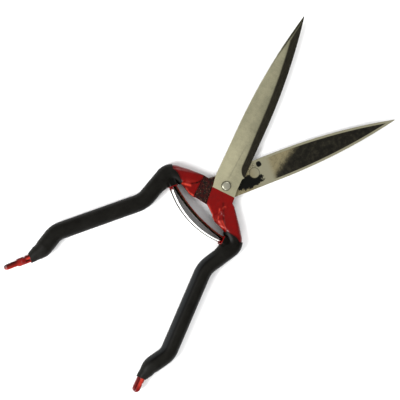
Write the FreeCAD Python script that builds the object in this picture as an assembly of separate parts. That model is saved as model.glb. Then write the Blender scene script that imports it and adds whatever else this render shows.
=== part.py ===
import FreeCAD, Part
import math
import os

# Hand grass shears, lying flat and sprung open. Millimetres.
# Frame: origin on the pivot axis, in the plane where the two blades slide on each other.
# +X points forward between the blades, +Z is the pivot axis, up.
# A half is drawn with its blade along +X and its cutting edge on the -Y side. The rear half is the
# same shape turned over about X. Both halves are then swung apart about Z.

# opening
rest_half_angle = 21.65         # each blade from the centre line, springs at rest

# blade
blade_reach = 163.2             # pivot to the point where the two edge arcs would meet
blade_half_width = 11.6
blade_thickness = 2.2
slide_gap = 0.1                 # each inner face from the sliding plane
taper_start = 50.0              # edges run parallel up to here
tip_half_width = 0.45
bevel_width = 5.3
edge_land = 0.25                # thickness left at the cutting edge
heel_x = 22.0                   # where the ground bevel starts to run out
heel_runout_radius = 10.0
heel_step = 1.6                 # the blade is this much wider than the tang at the heel
hollow_margin = 2.0             # flat ground strip left round the hollow of the inner face
hollow_depth = 0.35
hollow_start = 46.0
rub_pad_radius = 3.8
rub_pad_height = 0.06
rub_pad_x = 19.4
rub_pad_y = 2.4

# tang, and the lap of the handle over it
lap_x = -5.7                    # front edge of the lap
lap_thickness = 0.8
tang_waist = 10.1               # half width on the cutting side, behind the heel
tang_front_y = 10.0             # spine side, at the lap's edge
tang_corner_x = -20.4           # spine side corner, where the arm turns off
tang_corner_y = 8.6
tongue_width = 16.0             # part of the tang that sits inside the flattened tube
tongue_length = 7.0

# handle tube: flattened over the tang, then an oval tube bent like an S
arm_angle = 228.5               # heading of the arm as it leaves the tang
arm_start_x = -19.3
arm_start_y = -6.3
flat_width = 19.9               # flattened end of the tube
flat_height = 3.0
flat_start = 3.2                # the flattened end's inner wall begins this far along the arm
swell_at = 12.0
swell_width = 17.5
swell_height = 7.4
grip_start = 23.5               # the oval tube begins here, and so does the sleeve
knee_at = 31.3
tube_width = 12.0
tube_height = 11.0
tube_wall = 1.2
bend_x = -70.0                  # where the handle straightens behind the knee
bend_y = -13.2
handle_reach = 187.4            # pivot to the end of the handle
kick_y = -15.4                  # where it kicks in towards the other handle
kick_run = 16.0
heel_end_y = -5.9
end_run = 5.5
tube_end_y = -5.2
pinch_length = 5.6
knee_radius = 8.5
bend_radius = 22.0
kick_radius = 16.0
end_radius = 14.0

# pinched end of the tube
neck_y = -3.4
lug_length = 12.8
lug_width = 6.6
lug_height = 6.0
notch_radius = 1.6
notch_from_tip = 8.4

# sleeve
sleeve_wall = 1.2
sleeve_end_width = 8.8
sleeve_end_height = 8.4

# bow springs
spring_width = 12.0
leaf_thickness = 0.8
outer_end_x = -35.1             # where the outer leaf goes into its socket
outer_end_y = 30.9
outer_bow = 7.0                 # its apex from its chord
inner_end_x = -31.7
inner_end_y = 30.1
inner_bow = 3.6
leaf_tail = 2.0                 # length hidden in each socket

# spring sockets, as seen from the half
socket_front_x = -38.5
socket_back_x = -46.3
socket_mouth_y = -15.8
socket_floor_y = -18.6
socket_base_y = -24.0
socket_wall = 1.1
socket_clearance = 0.2
socket_side_gap = 0.1

# pivot
rivet_radius = 3.0
rivet_running_gap = 0.05
head_radius = 3.9
head_height = 2.0
washer_radius = 5.0
washer_thickness = 0.8
washer_play = 0.1
disc_height = 0.9               # cone spring washer, flattened on assembly
disc_thickness = 0.5
tail_radius = 3.9
tail_height = 1.4

# catch
catch_width = 4.4
catch_thickness = 1.2
catch_gap = 0.15
catch_reach = 16.2
catch_pin_from_tip = 6.4
catch_pin_radius = 1.25
catch_pin_play = 0.05
catch_head_radius = 2.1
catch_head_height = 0.6

origin = FreeCAD.Vector(0, 0, 0)
x_axis = FreeCAD.Vector(1, 0, 0)
z_axis = FreeCAD.Vector(0, 0, 1)
overshoot = 1.0                 # how far a cutting tool runs past what it cuts

inner_z = slide_gap
outer_z = slide_gap + blade_thickness
tang_split_z = outer_z - lap_thickness
arm_along = FreeCAD.Vector(math.cos(math.radians(arm_angle)), math.sin(math.radians(arm_angle)), 0)
arm_across = FreeCAD.Vector(-arm_along.y, arm_along.x, 0)
arm_start = FreeCAD.Vector(arm_start_x, arm_start_y, 0)
lug_tip_x = -handle_reach
neck_x = lug_tip_x + lug_length
tube_end_x = neck_x + pinch_length
heel_end_x = tube_end_x + end_run
kick_x = heel_end_x + kick_run
edge_radius = ((blade_reach - taper_start) ** 2 + blade_half_width ** 2) / (2 * blade_half_width)


def point(x, y, z=0.0):
    return FreeCAD.Vector(x, y, z)


def face_of(edges):
    return Part.Face(Part.Wire(edges))


def line(a, b):
    return Part.LineSegment(a, b).toShape()


def arc(a, middle, b):
    return Part.Arc(a, middle, b).toShape()


def slab(corners, low, high):
    """A flat plate with straight sides between two heights."""
    raised = [point(c.x, c.y, low) for c in corners]
    raised.append(raised[0])
    return Part.Face(Part.makePolygon(raised)).extrude(point(0, 0, high - low))


def along_arm(distance, sideways=0.0):
    return arm_start + arm_along * distance + arm_across * sideways


# ---- blade ----

def edge_half_width(x, inset=0.0):
    """Half width of the blade at x, measured to a line that lies inset inside the edge."""
    radius = edge_radius - inset
    return math.sqrt(radius ** 2 - (x - taper_start) ** 2) - (edge_radius - blade_half_width)


def taper_end(half_width, inset=0.0):
    """The x at which the blade, less the inset, has narrowed to a half width."""
    drop = edge_radius - blade_half_width + half_width
    return taper_start + math.sqrt((edge_radius - inset) ** 2 - drop ** 2)


def leaf_edges(start, inset, end_half_width):
    """Outline from the spine side round the tip to the cutting side."""
    end = taper_end(end_half_width, inset)
    middle = (taper_start + end) / 2
    wide = blade_half_width - inset
    wide_mid = edge_half_width(middle, inset)
    return [
        line(point(start, wide), point(taper_start, wide)),
        arc(point(taper_start, wide), point(middle, wide_mid), point(end, end_half_width)),
        arc(point(end, end_half_width), point(end + end_half_width, 0), point(end, -end_half_width)),
        arc(point(end, -end_half_width), point(middle, -wide_mid), point(taper_start, -wide)),
        line(point(taper_start, -wide), point(start, -wide)),
    ]


def blade_outline():
    heel_back = heel_x - heel_runout_radius
    tang_start_x = heel_back - heel_step
    edges = leaf_edges(heel_back + heel_step, 0.0, tip_half_width)
    cutting_side = [
        point(heel_back + heel_step, -blade_half_width),
        point(tang_start_x, -tang_waist),
        point(0, -tang_waist),
        point(lap_x, -tang_waist - heel_step / 2),
        point(lap_x, tang_front_y),
        point(-lap_x, blade_half_width),
        point(heel_back + heel_step, blade_half_width),
    ]
    for a, b in zip(cutting_side, cutting_side[1:]):
        edges.append(line(a, b))
    return face_of(edges)


def bevel_tool():
    """Wedge taken off the outer face along the cutting edge, with a round run-out at the heel."""
    slope = (blade_thickness - edge_land) / bevel_width
    inside_y = -blade_half_width + bevel_width
    outside_y = -blade_half_width - overshoot
    low_z = inner_z + edge_land - slope * overshoot
    profile = [
        point(0, inside_y, outer_z),
        point(0, inside_y, outer_z + overshoot),
        point(0, outside_y, outer_z + overshoot),
        point(0, outside_y, low_z),
        point(0, inside_y, outer_z),
    ]
    section = Part.Face(Part.makePolygon(profile))
    straight = section.translated(point(heel_x, 0)).extrude(point(taper_start - heel_x, 0))
    sweep = math.degrees(math.asin((blade_reach - taper_start) / edge_radius)) + 0.5
    curve_centre = point(taper_start, edge_radius - blade_half_width)
    curved = section.translated(point(taper_start, 0)).revolve(curve_centre, z_axis, sweep)
    heel_centre = point(heel_x, inside_y - heel_runout_radius)
    runout = section.translated(point(heel_x, 0)).revolve(heel_centre, z_axis, 75)
    return straight.fuse([curved, runout])


def tang_plate():
    """Thin rear of the tang, under the lap, with the tongue that enters the tube."""
    half = flat_width / 2
    corners = [
        point(lap_x, tang_front_y),
        point(tang_corner_x, tang_corner_y),
        along_arm(0, -half),
        along_arm(0, -tongue_width / 2),
        along_arm(tongue_length, -tongue_width / 2),
        along_arm(tongue_length, tongue_width / 2),
        along_arm(0, tongue_width / 2),
        along_arm(0, half),
        point(lap_x, -tang_waist - heel_step / 2),
    ]
    return slab(corners, inner_z, tang_split_z)


def make_blade(hole_radius):
    blade = blade_outline().translated(point(0, 0, inner_z)).extrude(point(0, 0, blade_thickness))
    blade = blade.cut(bevel_tool())
    hollow_edges = leaf_edges(hollow_start, hollow_margin, tip_half_width)
    hollow_wide = blade_half_width - hollow_margin
    hollow_edges.append(line(point(hollow_start, -hollow_wide), point(hollow_start, hollow_wide)))
    hollow = face_of(hollow_edges).translated(point(0, 0, inner_z - overshoot))
    blade = blade.cut(hollow.extrude(point(0, 0, overshoot + hollow_depth)))
    pad_base = point(rub_pad_x, rub_pad_y, inner_z - rub_pad_height)
    pad = Part.makeCylinder(rub_pad_radius, blade_thickness / 2, pad_base, z_axis)
    blade = blade.fuse([tang_plate(), pad]).removeSplitter()
    hole = Part.makeCylinder(hole_radius, blade_thickness + 2 * overshoot, point(0, 0, inner_z - overshoot))
    return blade.cut(hole)


# ---- oval sections, carried along the arm and the handle ----

def oval_wire(centre, along, width, height, centre_z=0.0):
    """Flat-topped oval standing across a heading: width in plan, height along Z."""
    across = point(-along.y, along.x)
    flat = (width - height) / 2
    round_out = height / 2
    base = centre + point(0, 0, centre_z)
    up = point(0, 0, round_out)
    left = across * flat
    right = across * -flat
    return Part.Wire([
        line(base + right + up, base + left + up),
        arc(base + left + up, base + left + across * round_out, base + left - up),
        line(base + left - up, base + right - up),
        arc(base + right - up, base + right - across * round_out, base + right + up),
    ])


def handle_corners():
    return [
        along_arm(grip_start),
        along_arm(knee_at),
        point(bend_x, bend_y),
        point(kick_x, kick_y),
        point(heel_end_x, heel_end_y),
        point(tube_end_x, tube_end_y),
    ]


def rounded_path(corners, radii):
    """Straight runs joined by tangent arcs, one radius for each inner corner."""
    edges = []
    start = corners[0]
    for before, corner, after, radius in zip(corners, corners[1:], corners[2:], radii):
        way_in = (corner - before).normalize()
        way_out = (after - corner).normalize()
        turn = way_in.getAngle(way_out)
        reach = radius * math.tan(turn / 2)
        arc_start = corner - way_in * reach
        arc_end = corner + way_out * reach
        inside = (way_out - way_in).normalize()
        middle = corner + inside * (radius / math.cos(turn / 2) - radius)
        edges.append(line(start, arc_start))
        edges.append(arc(arc_start, middle, arc_end))
        start = arc_end
    edges.append(line(start, corners[-1]))
    return Part.Wire(edges)


def carried(width, height):
    """The oval section swept along the whole handle."""
    corners = handle_corners()
    path = rounded_path(corners, [knee_radius, bend_radius, kick_radius, end_radius])
    section = oval_wire(corners[0], arm_along, width, height)
    return path.makePipeShell([section], True, False)


def tube_end_heading():
    return point(tube_end_x - heel_end_x, tube_end_y - heel_end_y).normalize()


def neck_heading():
    return point(neck_x - tube_end_x, neck_y - tube_end_y).normalize()


def pinch(start_width, start_height, end_width, end_height):
    """Short taper from the oval tube down to its pinched end."""
    start = oval_wire(point(tube_end_x, tube_end_y), tube_end_heading(), start_width, start_height)
    end = oval_wire(point(neck_x, neck_y), point(-1, 0), end_width, end_height)
    return Part.makeLoft([start, end], True, True)


# ---- handle ----

def lap_plate():
    half = flat_width / 2
    corners = [
        point(lap_x, tang_front_y),
        point(tang_corner_x, tang_corner_y),
        along_arm(0, -half),
        along_arm(flat_start + overshoot, -half + lap_thickness),
        along_arm(flat_start + overshoot, half - lap_thickness),
        along_arm(0, half),
        point(lap_x, -tang_waist - heel_step / 2),
    ]
    return slab(corners, tang_split_z, outer_z)


def flare(shrink=0.0, first=None):
    """The tube opening out of its flattened end; shrink gives its hollow."""
    start = flat_start
    start_width = flat_width
    start_height = flat_height
    start_z = outer_z - flat_height / 2
    if first is not None:
        start = first
        start_width = swell_width - 2 * shrink
        start_height = (flat_height + swell_height) / 2 - shrink
        start_z = start_z / 2
    sections = [oval_wire(along_arm(start), arm_along, start_width, start_height, start_z)]
    swell = [swell_width - 2 * shrink, swell_height - 2 * shrink]
    if first is None:
        sections.append(oval_wire(along_arm(swell_at), arm_along, swell[0], swell[1], start_z / 3))
    end = [tube_width - 2 * shrink, tube_height - 2 * shrink]
    sections.append(oval_wire(along_arm(grip_start), arm_along, end[0], end[1]))
    return Part.makeLoft(sections, True, first is not None)


def lug():
    """The pinched end: a flat-sided lug with a round tip and a notch on its outer edge."""
    half = lug_width / 2
    tip_centre_x = lug_tip_x + half
    top = neck_y + half
    low = neck_y - half
    outline = face_of([
        line(point(neck_x, low), point(neck_x, top)),
        line(point(neck_x, top), point(tip_centre_x, top)),
        arc(point(tip_centre_x, top), point(lug_tip_x, neck_y), point(tip_centre_x, low)),
        line(point(tip_centre_x, low), point(neck_x, low)),
    ])
    body = outline.translated(point(0, 0, -lug_height / 2)).extrude(point(0, 0, lug_height))
    notch_at = point(lug_tip_x + notch_from_tip, low, -lug_height)
    notch = Part.makeCylinder(notch_radius, 2 * lug_height, notch_at, z_axis)
    return body.cut(notch)


def catch_pin_at():
    return point(lug_tip_x + catch_pin_from_tip, neck_y)


def make_handle(with_catch):
    outer = flare().fuse([carried(tube_width, tube_height), lap_plate(), lug()])
    outer = outer.fuse(pinch(tube_width, tube_height, lug_width, lug_height))
    bore = carried(tube_width - 2 * tube_wall, tube_height - 2 * tube_wall)
    hollow = flare(tube_wall, tongue_length + 2 * tube_wall)
    tongue = slab([
        along_arm(-overshoot, -tongue_width / 2),
        along_arm(tongue_length, -tongue_width / 2),
        along_arm(tongue_length, tongue_width / 2),
        along_arm(-overshoot, tongue_width / 2),
    ], inner_z, tang_split_z)
    handle = outer.cut(bore).cut(hollow).cut(tongue)
    if with_catch:
        low = catch_pin_at() - point(0, 0, lug_height)
        handle = handle.cut(Part.makeCylinder(catch_pin_radius, 2 * lug_height, low, z_axis))
    return handle.removeSplitter()


# ---- spring socket and sleeve ----

def socket_block(extra):
    """Envelope of the socket, grown by a clearance."""
    depth = socket_mouth_y - socket_base_y + overshoot * (extra > 0)
    half_z = (tube_height + 2 * sleeve_wall) / 2 + extra
    corner = point(socket_back_x - extra, socket_base_y, -half_z)
    return Part.makeBox(socket_front_x - socket_back_x + 2 * extra, depth, 2 * half_z, corner)


def make_socket():
    pocket_half_z = spring_width / 2 + socket_side_gap
    pocket_x = socket_back_x + socket_wall
    pocket_length = socket_front_x - socket_back_x - 2 * socket_wall
    pocket_depth = socket_mouth_y - socket_floor_y + overshoot
    corner = point(pocket_x, socket_floor_y, -pocket_half_z)
    pocket = Part.makeBox(pocket_length, pocket_depth, 2 * pocket_half_z, corner)
    tube = carried(tube_width, tube_height)
    return largest(socket_block(0.0).cut(pocket).cut(tube).cut(flare()))


def largest(shape):
    return max(shape.Solids, key=lambda solid: solid.Volume)


def make_sleeve():
    outer = carried(tube_width + 2 * sleeve_wall, tube_height + 2 * sleeve_wall)
    outer = outer.fuse(pinch(tube_width + 2 * sleeve_wall, tube_height + 2 * sleeve_wall,
                             sleeve_end_width, sleeve_end_height))
    inner = carried(tube_width, tube_height).fuse(pinch(tube_width, tube_height, lug_width, lug_height))
    return largest(outer.cut(inner).cut(socket_block(socket_clearance)).removeSplitter())


# ---- bow springs, already in the frame of the whole tool ----

def make_leaf(end_x, end_y, bow):
    """A flat strip bent to an arc about Z, with a short tail at each end."""
    radius = (end_y ** 2 + bow ** 2) / (2 * bow)
    centre = point(end_x - bow + radius, 0)
    half_angle = math.asin(end_y / radius) + leaf_tail / radius

    def on(radial, angle):
        return centre + point(-radial * math.cos(angle), radial * math.sin(angle), -spring_width / 2)

    near = radius - leaf_thickness / 2
    far = radius + leaf_thickness / 2
    outline = face_of([
        arc(on(near, -half_angle), on(near, 0), on(near, half_angle)),
        line(on(near, half_angle), on(far, half_angle)),
        arc(on(far, half_angle), on(far, 0), on(far, -half_angle)),
        line(on(far, -half_angle), on(near, -half_angle)),
    ])
    return outline.extrude(point(0, 0, spring_width))


# ---- pivot ----

def domed_head(radius, height, base_z, up):
    """A low dome on a short straight rim."""
    rim = height / 4
    rise = height - rim
    sphere_radius = (radius ** 2 + rise ** 2) / (2 * rise)
    disc = Part.makeCylinder(radius, height, point(0, 0, base_z), point(0, 0, up))
    ball = Part.makeSphere(sphere_radius, point(0, 0, base_z + up * (height - sphere_radius)))
    return disc.common(ball)


def washer_stack_z():
    first = -outer_z - washer_play
    second = first - washer_thickness
    third = second - disc_height
    return first, second, third


def make_rivet():
    tail_z = washer_stack_z()[2]
    shank = Part.makeCylinder(rivet_radius, outer_z - tail_z, point(0, 0, tail_z))
    head = domed_head(head_radius, head_height, outer_z, 1)
    tail = domed_head(tail_radius, tail_height, tail_z, -1)
    return shank.fuse([head, tail]).removeSplitter()


def make_washer():
    first, second, third = washer_stack_z()
    disc = Part.makeCylinder(washer_radius, washer_thickness, point(0, 0, second))
    hole = Part.makeCylinder(rivet_radius + rivet_running_gap, washer_thickness, point(0, 0, second))
    return disc.cut(hole)


def make_disc_spring():
    first, second, third = washer_stack_z()
    inner = rivet_radius + rivet_running_gap
    cone = disc_height - disc_thickness
    profile = [
        point(inner, 0, third),
        point(washer_radius, 0, third + cone),
        point(washer_radius, 0, second),
        point(inner, 0, third + disc_thickness),
        point(inner, 0, third),
    ]
    return Part.Face(Part.makePolygon(profile)).revolve(origin, z_axis, 360)


# ---- catch ----

def make_catch():
    """A strap bent into a U; its two legs straddle the lug and turn on a rivet."""
    pin = catch_pin_at()
    half = catch_width / 2
    inner_half = lug_height / 2 + catch_gap
    outer_half = inner_half + catch_thickness
    end_x = pin.x - catch_reach
    outline = face_of([
        line(point(end_x, pin.y - half), point(pin.x, pin.y - half)),
        arc(point(pin.x, pin.y - half), point(pin.x + half, pin.y), point(pin.x, pin.y + half)),
        line(point(pin.x, pin.y + half), point(end_x, pin.y + half)),
        line(point(end_x, pin.y + half), point(end_x, pin.y - half)),
    ])
    strap = outline.translated(point(0, 0, -outer_half)).extrude(point(0, 0, 2 * outer_half))
    back_edges = [edge for edge in strap.Edges if abs(edge.CenterOfMass.x - end_x) < 1e-6
                  and abs(edge.Vertexes[0].Z - edge.Vertexes[1].Z) < 1e-6]
    strap = strap.makeFillet(catch_thickness, back_edges)
    gap_length = catch_reach - catch_thickness + catch_width
    gap = Part.makeBox(gap_length, 2 * catch_width, 2 * inner_half,
                       point(end_x + catch_thickness, pin.y - catch_width, -inner_half))
    hole = Part.makeCylinder(catch_pin_radius + catch_pin_play, 4 * outer_half,
                             pin - point(0, 0, 2 * outer_half))
    return strap.cut(gap).cut(hole)


def make_catch_rivet():
    pin = catch_pin_at()
    outer_half = lug_height / 2 + 2 * catch_gap + catch_thickness
    shank = Part.makeCylinder(catch_pin_radius, 2 * outer_half, pin - point(0, 0, outer_half))
    heads = []
    for side in (1, -1):
        head = domed_head(catch_head_radius, catch_head_height, side * outer_half, side)
        heads.append(head.translated(pin))
    return shank.fuse(heads).removeSplitter()


# ---- placing and writing ----

def placed(shape, rear):
    """Turn a half's piece over if it is the rear one, and swing it to its rest angle."""
    copy = shape.copy()
    if rear:
        copy.rotate(origin, x_axis, 180)
    copy.rotate(origin, z_axis, -rest_half_angle if rear else rest_half_angle)
    return copy


def write(node, shape):
    solids = shape.Solids
    print(node, "solids", len(solids), "valid", shape.isValid(), "volume", round(shape.Volume, 1))
    body = solids[0] if len(solids) == 1 else Part.makeCompound(solids)
    body.exportStep("parts/" + node + ".step")


os.makedirs("parts", exist_ok=True)
for side in ("front", "rear"):
    rear = side == "rear"
    hole_radius = rivet_radius + rivet_running_gap * rear
    write("blade_" + side, placed(make_blade(hole_radius), rear))
    write("handle_" + side, placed(make_handle(rear), rear))
    write("grip_" + side, placed(make_sleeve(), rear))
    write("spring_socket_" + side, placed(make_socket(), rear))

write("bow_spring_outer", make_leaf(outer_end_x, outer_end_y, outer_bow))
write("bow_spring_inner", make_leaf(inner_end_x, inner_end_y, inner_bow))
write("pivot_rivet", make_rivet())
write("pivot_washer", make_washer())
write("pivot_disc_spring", make_disc_spring())
write("catch_strap", placed(make_catch(), True))
write("catch_rivet", placed(make_catch_rivet(), True))
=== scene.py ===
import math
import bpy
import numpy as np
from mathutils import Matrix


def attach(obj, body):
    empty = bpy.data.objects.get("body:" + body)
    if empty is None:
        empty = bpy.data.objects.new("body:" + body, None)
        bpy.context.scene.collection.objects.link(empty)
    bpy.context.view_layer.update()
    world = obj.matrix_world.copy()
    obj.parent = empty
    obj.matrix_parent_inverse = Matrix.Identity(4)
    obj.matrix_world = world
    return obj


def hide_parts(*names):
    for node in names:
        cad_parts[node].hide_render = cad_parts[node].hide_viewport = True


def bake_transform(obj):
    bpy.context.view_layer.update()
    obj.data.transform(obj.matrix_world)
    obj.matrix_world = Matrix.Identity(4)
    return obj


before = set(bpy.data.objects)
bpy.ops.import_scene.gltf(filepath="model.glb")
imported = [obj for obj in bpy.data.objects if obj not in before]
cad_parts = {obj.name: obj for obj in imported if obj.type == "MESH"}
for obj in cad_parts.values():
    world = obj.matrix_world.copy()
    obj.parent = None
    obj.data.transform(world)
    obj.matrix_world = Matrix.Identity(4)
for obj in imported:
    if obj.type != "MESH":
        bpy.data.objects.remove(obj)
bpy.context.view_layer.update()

mm = 0.001
restAngle = 21.65     # degrees, each half from the centre line with the springs at rest
scene = bpy.context.scene


def smooth(low, high, x):
    # 0 below low, 1 above high, and an S curve between
    t = np.clip((np.asarray(x, float) - low) / (high - low), 0, 1)
    return t * t * (3 - 2 * t)


def bump(centre, width, x):
    # a bell of height 1
    return np.exp(-((np.asarray(x, float) - centre) / width) ** 2)


def nearLine(x, y, ax, ay, bx, by):
    # distance from each point to the segment a-b
    dx, dy = bx - ax, by - ay
    t = np.clip(((x - ax) * dx + (y - ay) * dy) / (dx * dx + dy * dy), 0, 1)
    return np.hypot(x - ax - t * dx, y - ay - t * dy)


def placeHalf(points, rear):
    # a half's own millimetres to the tool's metres: the rear half is turned over about X, then each
    # half swings by the rest angle about Z
    p = np.array(points, float)
    if rear:
        p = p * np.array([1, -1, -1])
    a = math.radians(-restAngle if rear else restAngle)
    x = p[..., 0] * math.cos(a) - p[..., 1] * math.sin(a)
    y = p[..., 0] * math.sin(a) + p[..., 1] * math.cos(a)
    return np.stack([x, y, p[..., 2]], -1) * mm


def stadium(width, height, count):
    # flat-topped oval, width across and height up, as count points round it: two half rounds
    # joined by flats
    ends = count // 4 + 1
    flats = (count - 2 * ends) // 2
    turn = np.linspace(-np.pi / 2, np.pi / 2, ends)
    run = np.linspace(1, -1, flats + 2)[1:-1]
    share = np.concatenate([np.ones(ends), run, -np.ones(ends), -run])
    out = np.concatenate([np.cos(turn), 0 * run, -np.cos(turn), 0 * run])
    rise = np.concatenate([np.sin(turn), 1 + 0 * run, -np.sin(turn), -1 + 0 * run])
    flat = np.maximum(width - height, 0.02) / 2
    return flat * share + height / 2 * out, height / 2 * rise


def roundedBox(width, height, radius, count):
    # a rectangle with quarter-round corners, count points round it, count a multiple of 4
    k = count // 4
    turn = np.linspace(0, np.pi / 2, k)
    parts = []
    for i, (sx, sy) in enumerate(((1, 1), (-1, 1), (-1, -1), (1, -1))):
        cx, cy = sx * (width / 2 - radius), sy * (height / 2 - radius)
        a = turn + i * np.pi / 2
        parts.append(np.stack([cx + radius * np.cos(a), cy + radius * np.sin(a)], -1))
    return np.concatenate(parts)


def skinRings(name, rings, attributes=None, sharp=32):
    # closed loops of points, one after another: quads from each loop to the next, and a fan to a
    # centre
    # point at each end. Faces are turned outwards by the sign of the enclosed volume.
    rings = np.array(rings, float)
    n, m, _ = rings.shape
    points = np.concatenate([rings.reshape(-1, 3), rings[0].mean(0)[None], rings[-1].mean(0)[None]])
    i = np.arange(n - 1)[:, None] * m
    j = np.arange(m)[None, :]
    k = (j + 1) % m
    quads = np.stack([i + j, i + k, i + m + k, i + m + j], -1).reshape(-1, 4)
    j, k = j[0], k[0]
    first = np.stack([k, j, np.full(m, n * m)], -1)
    last = np.stack([j + (n - 1) * m, k + (n - 1) * m, np.full(m, n * m + 1)], -1)
    tris = np.concatenate([quads[:, [0, 1, 2]], quads[:, [0, 2, 3]], first, last])
    a, b, c = (points[tris[:, q]] for q in range(3))
    if np.einsum("ij,ij->", a, np.cross(b, c)) < 0:
        quads, first, last = quads[:, ::-1], first[:, ::-1], last[:, ::-1]
    mesh = bpy.data.meshes.new(name)
    mesh.from_pydata(points.tolist(), [], quads.tolist() + first.tolist() + last.tolist())
    mesh.update()
    mesh.shade_smooth()
    mesh.set_sharp_from_angle(angle=math.radians(sharp))
    for key, values in (attributes or {}).items():
        values = np.asarray(values, float).reshape(n, m, 3)
        flat = np.concatenate([values.reshape(-1, 3), values[0].mean(0)[None],
                               values[-1].mean(0)[None]])
        layer = mesh.attributes.new(key, "FLOAT_VECTOR", "POINT")
        layer.data.foreach_set("vector", flat.astype(np.float32).ravel())
    piece = bpy.data.objects.new(name, mesh)
    scene.collection.objects.link(piece)
    return piece


def finishPiece(piece, body, slot, material, *nodes):
    piece.data.materials.append(material)
    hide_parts(*nodes)
    if body:                 # a blended piece rides on no single body
        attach(piece, body)
    print("made", piece.name, len(piece.data.polygons), "faces")


def halfNames(rear):
    # the end of a piece's name, its body, and the end of its node's name
    return ("Rear", "rear_half", "_rear") if rear else ("Front", "front_half", "_front")


def roundedRoute(corners, radii, step):
    # straight runs joined by tangent arcs: points about a step apart, with the heading at each
    corners = [np.array(c, float) for c in corners]
    points, headings = [], []

    def run(a, b):
        along = (b - a) / np.linalg.norm(b - a)
        count = max(2, int(np.linalg.norm(b - a) / step))
        for t in np.linspace(0, 1, count, endpoint=False):
            points.append(a + (b - a) * t)
            headings.append(along)

    start = corners[0]
    for before, corner, after, radius in zip(corners, corners[1:], corners[2:], radii):
        wayIn = (corner - before) / np.linalg.norm(corner - before)
        wayOut = (after - corner) / np.linalg.norm(after - corner)
        turn = math.atan2(wayIn[0] * wayOut[1] - wayIn[1] * wayOut[0], wayIn @ wayOut)
        reach = radius * math.tan(abs(turn) / 2)
        run(start, corner - wayIn * reach)
        side = math.copysign(1, turn)
        centre = corner - wayIn * reach + side * radius * np.array([-wayIn[1], wayIn[0]])
        count = max(6, int(abs(turn) * radius / step))
        for t in np.linspace(0, 1, count, endpoint=False):
            a = math.atan2(wayIn[1], wayIn[0]) + turn * t
            points.append(centre + side * radius * np.array([math.sin(a), -math.cos(a)]))
            headings.append(np.array([math.cos(a), math.sin(a)]))
        start = corner + wayOut * reach
    run(start, corners[-1])
    points.append(corners[-1])
    headings.append(headings[-1])
    return np.array(points), np.array(headings)


def addNode(tree, kind, inputs=None, **settings):
    node = tree.nodes.new(kind)
    for key, value in settings.items():
        setattr(node, key, value)
    for key, value in (inputs or {}).items():
        if isinstance(value, bpy.types.NodeSocket):
            tree.links.new(value, node.inputs[key])
        else:
            node.inputs[key].default_value = value
    return node


def math2(tree, operation, a, b=0.0, clamp=False):
    inputs = {0: a, 1: b}
    return addNode(tree, "ShaderNodeMath", inputs, operation=operation, use_clamp=clamp).outputs[0]


def times(tree, a, b):
    return math2(tree, "MULTIPLY", a, b)


def plus(tree, a, b, clamp=False):
    return math2(tree, "ADD", a, b, clamp)


def minus(tree, a, b):
    return math2(tree, "SUBTRACT", a, b)


def vector2(tree, operation, a, b=(0.0, 0.0, 0.0)):
    # the whole output list: a vector first, and "Value" for a length or a distance
    return addNode(tree, "ShaderNodeVectorMath", {0: a, 1: b}, operation=operation).outputs


def noise(tree, place, scale, detail=2.0, roughness=0.5):
    inputs = {"Vector": place, "Scale": scale, "Detail": detail, "Roughness": roughness}
    return addNode(tree, "ShaderNodeTexNoise", inputs).outputs[0]


def ramp(tree, value, low, high, start=0.0, end=1.0):
    # an S-shaped step of value from start to end
    inputs = {"Value": value, "From Min": low, "From Max": high, "To Min": start, "To Max": end}
    return addNode(tree, "ShaderNodeMapRange", inputs, interpolation_type="SMOOTHSTEP").outputs[0]


def blendColour(tree, amount, a, b):
    return addNode(tree, "ShaderNodeMix", {0: amount, 6: a, 7: b}, data_type="RGBA").outputs[2]


def newGroup(name, inputs, outputs):
    group = bpy.data.node_groups.new(name, "ShaderNodeTree")
    for label, kind, value in inputs:
        socket = group.interface.new_socket(label, in_out="INPUT", socket_type=kind)
        if value is not None:
            socket.default_value = value
    for label, kind in outputs:
        group.interface.new_socket(label, in_out="OUTPUT", socket_type=kind)
    source = group.nodes.new("NodeGroupInput")
    sink = group.nodes.new("NodeGroupOutput")
    return group, source.outputs, sink.inputs


def useGroup(tree, group, inputs):
    return addNode(tree, "ShaderNodeGroup", inputs, node_tree=group).outputs


def makeGrainLines():
    # noise stretched along one direction: fine ground or drawn lines
    group, source, sink = newGroup(
        "grainLines",
        [("Place", "NodeSocketVector", None), ("Stretch", "NodeSocketVector", (6.0, 0.2, 0.2)),
         ("Breakup", "NodeSocketFloat", 0.12)],
        [("Lines", "NodeSocketFloat"), ("Patches", "NodeSocketFloat")])
    scaled = vector2(group, "MULTIPLY", source["Place"], source["Stretch"])[0]
    group.links.new(noise(group, scaled, 1.0, 3.0, 0.65), sink["Lines"])
    group.links.new(noise(group, source["Place"], source["Breakup"], 4.0, 0.55), sink["Patches"])
    return group


def makeMottle():
    # ragged blotches: two scales of noise pushed through a step
    group, source, sink = newGroup(
        "mottle",
        [("Place", "NodeSocketVector", None), ("Scale", "NodeSocketFloat", 0.3),
         ("Level", "NodeSocketFloat", 0.5),
         ("Edge", "NodeSocketFloat", 0.08)],
        [("Mask", "NodeSocketFloat"), ("Raw", "NodeSocketFloat")])
    big = noise(group, source["Place"], source["Scale"], 6.0, 0.68)
    small = noise(group, source["Place"], times(group, source["Scale"], 5.3), 3.0)
    mixed = plus(group, times(group, big, 0.75), times(group, small, 0.25))
    low = minus(group, source["Level"], source["Edge"])
    high = plus(group, source["Level"], source["Edge"])
    group.links.new(ramp(group, mixed, low, high), sink["Mask"])
    group.links.new(mixed, sink["Raw"])
    return group


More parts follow.
